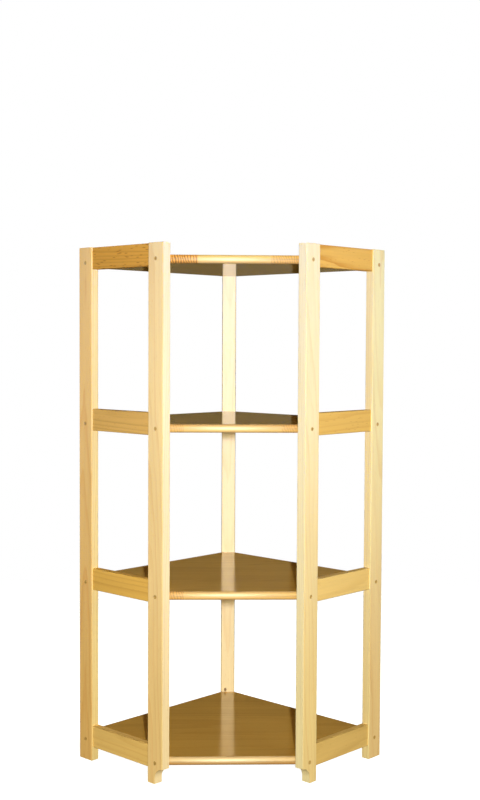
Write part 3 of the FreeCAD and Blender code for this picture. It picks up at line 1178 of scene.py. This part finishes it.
@dataclass
class Studio:
    """A pale floor, five lamps, a weak fill, and cloths and walls that only gloss sees.

    Attributes:
        lamps: The lamps; only the one at the camera is mirrored.
        floor_radius: How far the floor goes.
        floor_fade: The distances between which it fades into the background.
        floor_colour: Its paint, which shows the shelf's shadow.
        floor_lift: How much it shines where it is seen, so that it turns white.
        floor_bounce: The light that it throws back at the wood.
        feet_glow: The brighter light that it throws back round the feet.
        feet_reach: The distances between which that light falls off.
        fill: The weak even light from all round.
        cloth_radius: How far away the dark cloths hang.
        cloth_height: How high they go.
        cloth_clearance: How far the lower one lies over the floor.
        cloth_colour: Their colour.
        left_wall: The left wall's paint.
        right_wall: The right wall's paint.
        wall_gap: How far the walls' corner stands behind the back post.
        wall_size: How far each wall reaches sideways, and its height.
        steps: How many straight sides stand for a circle.
    """

    lamps: tuple[SoftLamp, ...] = (
        SoftLamp("camera_lamp", (0.04, -2.82, 0.98), (0.04, 0, 0.84), (0.04, 0.15), 38.8, FLASH, 120, True),
        SoftLamp("upper_lamp", (0.04, -2.82, 1.0), (0.04, 0, 1.55), (0.04, 0.04), 5.4, BLUE, 60),
        SoftLamp("right_lamp", (1.7, -1.7, 1.3), (0, 0, 1.1), (1.0, 1.0), 10.0, DAYLIGHT, 180),
        SoftLamp("top_lamp", (0, 0, 3.1), (0, 0, 1.1), (0.2, 0.2), 12.0, FLASH, 120),
        SoftLamp("back_lamp", (0, 5.0, 0.57), (0, 0, 0.57), (0.5, 0.5), 10.0, FLASH, 60),
    )
    floor_radius: float = 2.4
    floor_fade: tuple[float, float] = (1.1, 2.2)
    floor_colour: Colour = Colour(196, 214, 232)
    floor_lift: float = 0.95
    floor_bounce: Colour = Colour(84, 80, 40)
    feet_glow: Colour = Colour(136, 122, 92)
    feet_reach: tuple[float, float] = (0.40, 0.70)
    fill: Colour = Colour(75, 56, 22)
    cloth_radius: float = 5.5
    cloth_height: float = 4.5
    cloth_clearance: float = 0.0004
    cloth_colour: Colour = Colour(90, 76, 50)
    left_wall: Colour = Colour(110, 101, 68)
    right_wall: Colour = Colour(120, 112, 80)
    wall_gap: float = 0.01
    wall_size: tuple[float, float] = (0.75, 1.35)
    steps: int = 64

    def build(self) -> None:
        """Builds the floor, the lamps, the cloths and the world."""
        self._world()
        for lamp in self.lamps:
            lamp.build()
        self._floor()
        self._cloth()
        self._walls()

    def _seen(self, sheet: NodeSheet) -> Socket:
        """Whether a ray is one that sees the background: straight on, mirrored or through glass."""
        rays = sheet.node("ShaderNodeLightPath").outputs
        mirrored = sheet.math("MAXIMUM", rays["Is Glossy Ray"], rays["Is Transmission Ray"])
        return sheet.math("MAXIMUM", rays["Is Camera Ray"], mirrored)

    def _world(self) -> None:
        """A white background, and a weak even fill for the light."""
        world = bpy.data.worlds.new("studio")
        bpy.context.scene.world = world
        world.use_nodes = True
        sheet = NodeSheet(world.node_tree)
        sheet.tree.nodes.clear()
        colour = sheet.blend(self._seen(sheet), self.fill.linear(), WHITE)
        background = sheet.node("ShaderNodeBackground", {"Color": colour, "Strength": 1.0})
        sheet.surface(background, "World")

    def _ring(self, radius: float, height: float) -> list[tuple[float, float, float]]:
        """Points round the middle of the floor at one height."""
        angles = [math.tau * step / self.steps for step in range(self.steps)]
        return [(radius * math.cos(angle), radius * math.sin(angle), height) for angle in angles]

    def _floor(self) -> bpy.types.Object:
        """A round pale floor that fades into the white background at its rim."""
        mesh = bpy.data.meshes.new("floor")
        mesh.from_pydata(self._ring(self.floor_radius, 0), [], [range(self.steps)])
        mesh.materials.append(self._floor_finish())
        return add_object("floor", mesh)

    def _floor_finish(self) -> bpy.types.Material:
        """Matt paint, lifted to white where it is seen; it throws a warm light back at the wood."""
        material, sheet = new_material("floor_paint")
        paint = sheet.node("ShaderNodeBsdfDiffuse", {"Color": self.floor_colour.linear()})
        lift = sheet.glow(WHITE, self.floor_lift)
        lifted = sheet.node("ShaderNodeAddShader", {0: paint.outputs[0], 1: lift.outputs[0]})
        place = sheet.node("ShaderNodeTexCoord").outputs["Object"]
        away = sheet.ramp(sheet.length(place), *self.feet_reach)
        warm = sheet.blend(away, self.feet_glow.linear(), self.floor_bounce.linear())
        choice = {0: self._seen(sheet), 1: sheet.glow(warm).outputs[0], 2: lifted.outputs[0]}
        chosen = sheet.node("ShaderNodeMixShader", choice)
        share = sheet.ramp(sheet.length(place), *self.floor_fade)
        clear = sheet.node("ShaderNodeBsdfTransparent")
        faded = sheet.node("ShaderNodeMixShader", {0: share, 1: chosen.outputs[0], 2: clear.outputs[0]})
        sheet.surface(faded)
        return material

    def _cloth(self) -> bpy.types.Object:
        """Dark cloths below, above and all round, which keep the wood's gloss from going white."""
        mesh = bpy.data.meshes.new("dark_cloth")
        places = self._ring(self.cloth_radius, self.cloth_clearance)
        places += self._ring(self.cloth_radius, self.cloth_height)
        faces = [tuple(range(self.steps)), tuple(reversed(range(self.steps, 2 * self.steps)))]
        for step in range(self.steps):
            after = (step + 1) % self.steps
            faces.append((after, step, step + self.steps, after + self.steps))
        mesh.from_pydata(places, [], faces)
        material, sheet = new_material("dark_cloth")
        sheet.surface(sheet.glow(self.cloth_colour.linear()))
        mesh.materials.append(material)
        return self._only_in_gloss(add_object("dark_cloth", mesh))

    def _walls(self) -> bpy.types.Object:
        """The two walls behind the shelf, which its boards mirror with the posts' shadows on them."""
        reach, height = self.wall_size
        corner_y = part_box("back_post")[1].y + self.wall_gap
        places = []
        for x, y in ((-reach, corner_y - reach), (0, corner_y), (reach, corner_y - reach)):
            places.append((x, y, self.cloth_clearance))
            places.append((x, y, height))
        mesh = bpy.data.meshes.new("walls")
        mesh.from_pydata(places, [], [(0, 2, 3, 1), (2, 4, 5, 3)])
        for number, colour in enumerate((self.left_wall, self.right_wall)):
            material, sheet = new_material("wall_paint")
            sheet.surface(sheet.node("ShaderNodeBsdfDiffuse", {"Color": colour.linear()}))
            mesh.materials.append(material)
            mesh.polygons[number].material_index = number
        return self._only_in_gloss(add_object("walls", mesh))

    def _only_in_gloss(self, piece: bpy.types.Object) -> bpy.types.Object:
        """Hides a piece of the studio from all but gloss."""
        piece.visible_camera = False
        piece.visible_diffuse = False
        piece.visible_transmission = False
        piece.visible_shadow = False
        return piece


@dataclass
class Shelf:
    """The whole shelf: its five posts, eight rails, four boards, their dowels and screws."""

    seed: int = 11

    # The posts' face tints are painted light: on the faces across the wide ones for how the lamps fall on
    # them, and painted shade on the wide faces towards the floor
    FRONT_PINE = {
        Side.LEFT: Pine(
            Colour(250, 224, 163), Colour(230, 184, 115), 0.0050, 0.35,
            narrow=(0.98, 1.05, 1.42), foot=(1.04, 0.98, 1.0),
        ),
        Side.RIGHT: Pine(
            Colour(247, 230, 184), Colour(231, 195, 135), 0.0052, 0.35,
            narrow=(0.92, 0.98, 1.07), foot=(0.97, 0.89, 0.72),
        ),
    }
    WALL_PINE = {
        Side.LEFT: Pine(
            Colour(253, 215, 144), Colour(230, 168, 95), 0.0046, 0.4,
            narrow=(0.93, 1.11, 1.38), foot=(0.96, 0.91, 0.87),
        ),
        Side.RIGHT: Pine(
            Colour(248, 237, 182), Colour(226, 194, 128), 0.0048, 0.4,
            narrow=(0.91, 0.85, 0.86), foot=(0.98, 0.80, 0.73),
        ),
    }
    # The back post's dark eased edges are painted shade and a painted reflection of a dark room
    BACK_PINE = Pine(Colour(246, 229, 191), Colour(235, 202, 147), 0.0052, 0.35, edge=(0.40, 0.37, 0.26))
    RAIL_PINE = {
        (Side.LEFT, Level.TOP): Pine(Colour(219, 164, 69), Colour(143, 86, 21), 0.0060, 0.35, flecks=0.6),
        (Side.LEFT, Level.UPPER): Pine(Colour(226, 184, 105), Colour(185, 137, 61), 0.0052, 0.5),
        (Side.LEFT, Level.LOWER): Pine(Colour(240, 194, 100), Colour(206, 155, 72), 0.0080, 0.5),
        (Side.LEFT, Level.BOTTOM): Pine(Colour(245, 209, 134), Colour(217, 172, 99), 0.0070, 0.4),
        (Side.RIGHT, Level.TOP): Pine(
            Colour(230, 183, 92), Colour(196, 128, 40), 0.0060, 0.8, waver=0.03, flecks=0.4
        ),
        (Side.RIGHT, Level.UPPER): Pine(Colour(227, 186, 100), Colour(202, 149, 67), 0.0060, 0.4, flecks=0.4),
        (Side.RIGHT, Level.LOWER): Pine(Colour(242, 208, 132), Colour(220, 179, 102), 0.0080, 0.4),
        (Side.RIGHT, Level.BOTTOM): Pine(Colour(227, 193, 121), Colour(202, 162, 93), 0.0070, 0.4),
    }
    GLOSS = Varnish(roughness=0.09, shine=1.0, index=1.78)
    BOARD_PINE = Pine(
        Colour(220, 174, 85), Colour(186, 137, 57), ring_width=0.0048, contrast=0.25, varnish=GLOSS
    )
    BEECH = Pine(Colour(222, 182, 138), Colour(196, 150, 106), ring_width=0.0015, contrast=0.3, flecks=0.6)
    BACK_KNOTS = (Knot(Vector((-0.006, 0.2490, 0.0595)), 0.0035),)

    # The least and the most of each chance in a bar's cut, and the step between the boards' seeds
    HEARTS = (0.035, 0.075)
    TURNS = (-0.7, 0.7)
    LEANS = (-0.03, 0.03)
    STARTS = (0, 3)
    SEED_STEP = 10.0

    # The front edges' upper and lower colours differ by painted light: a highlight on the bottom board, shade
    # on the others
    FRONT_EDGES = {
        Level.BOTTOM: FrontEdge(
            (-0.126, 0.126), (0.0, 0.0), Colour(234, 203, 150), Colour(202, 151, 78), 0.96
        ),
        Level.LOWER: FrontEdge(
            (-0.104, 0.126), (0.4, 0.0), Colour(205, 168, 101), Colour(210, 167, 92), 1.14
        ),
        Level.UPPER: FrontEdge((-0.104, 0.100), (0.25, 0.3), Colour(210, 166, 95), Colour(218, 178, 101)),
        Level.TOP: FrontEdge((-0.076, 0.076), (1.0, 0.4), Colour(204, 170, 92), Colour(214, 174, 106)),
    }

    def dress(self) -> None:
        """Gives every piece its wood and puts the screws in."""
        wood = WoodShop()
        chance = random.Random(self.seed)
        for bar in self._bars(chance):
            bar.dress(wood)
        glued = GluedPine(self.BOARD_PINE)
        kit = ScrewKit()
        plan = Plan()
        for number, level in enumerate(Level):
            Board(level, glued, self.SEED_STEP * number, self.FRONT_EDGES[level]).dress(wood)
            kit.build(level, plan)

    def _bars(self, chance: random.Random) -> list[Bar]:
        """Every post, rail and dowel node, each sawn from its own part of a log."""
        bars = [Bar("back_post", self.BACK_PINE, self._cut(chance, UP, FORWARD), self.BACK_KNOTS)]
        for side in Side:
            sawn = [("_wall_post", self.WALL_PINE[side], UP), ("_front_post", self.FRONT_PINE[side], UP)]
            for level in Level:
                rail = "_" + level.value + "_rail"
                sawn.append((rail, self.RAIL_PINE[side, level], side.rail_run))
                sawn.append((rail + "_dowels", self.BEECH, side.rail_run))
            for name, pine, along in sawn:
                bars.append(Bar(side.word + name, pine, self._cut(chance, along, side.outward)))
        return bars

    def _cut(self, chance: random.Random, along: Vector, face: Vector) -> Cut:
        """A cut of its own for one bar, from a fixed run of chances."""
        return Cut(
            along,
            face,
            heart=chance.uniform(*self.HEARTS),
            turn=chance.uniform(*self.TURNS),
            lean=chance.uniform(*self.LEANS),
            start=chance.uniform(*self.STARTS),
        )


def main() -> None:
    """Sets the standard view, dresses the shelf, and builds the studio and the camera."""
    logging.basicConfig(level=logging.INFO, format="%(message)s")
    bpy.context.scene.view_settings.view_transform = "Standard"
    Shelf().dress()
    Studio().build()
    Camera().build()


if __name__ == "__main__":
    main()
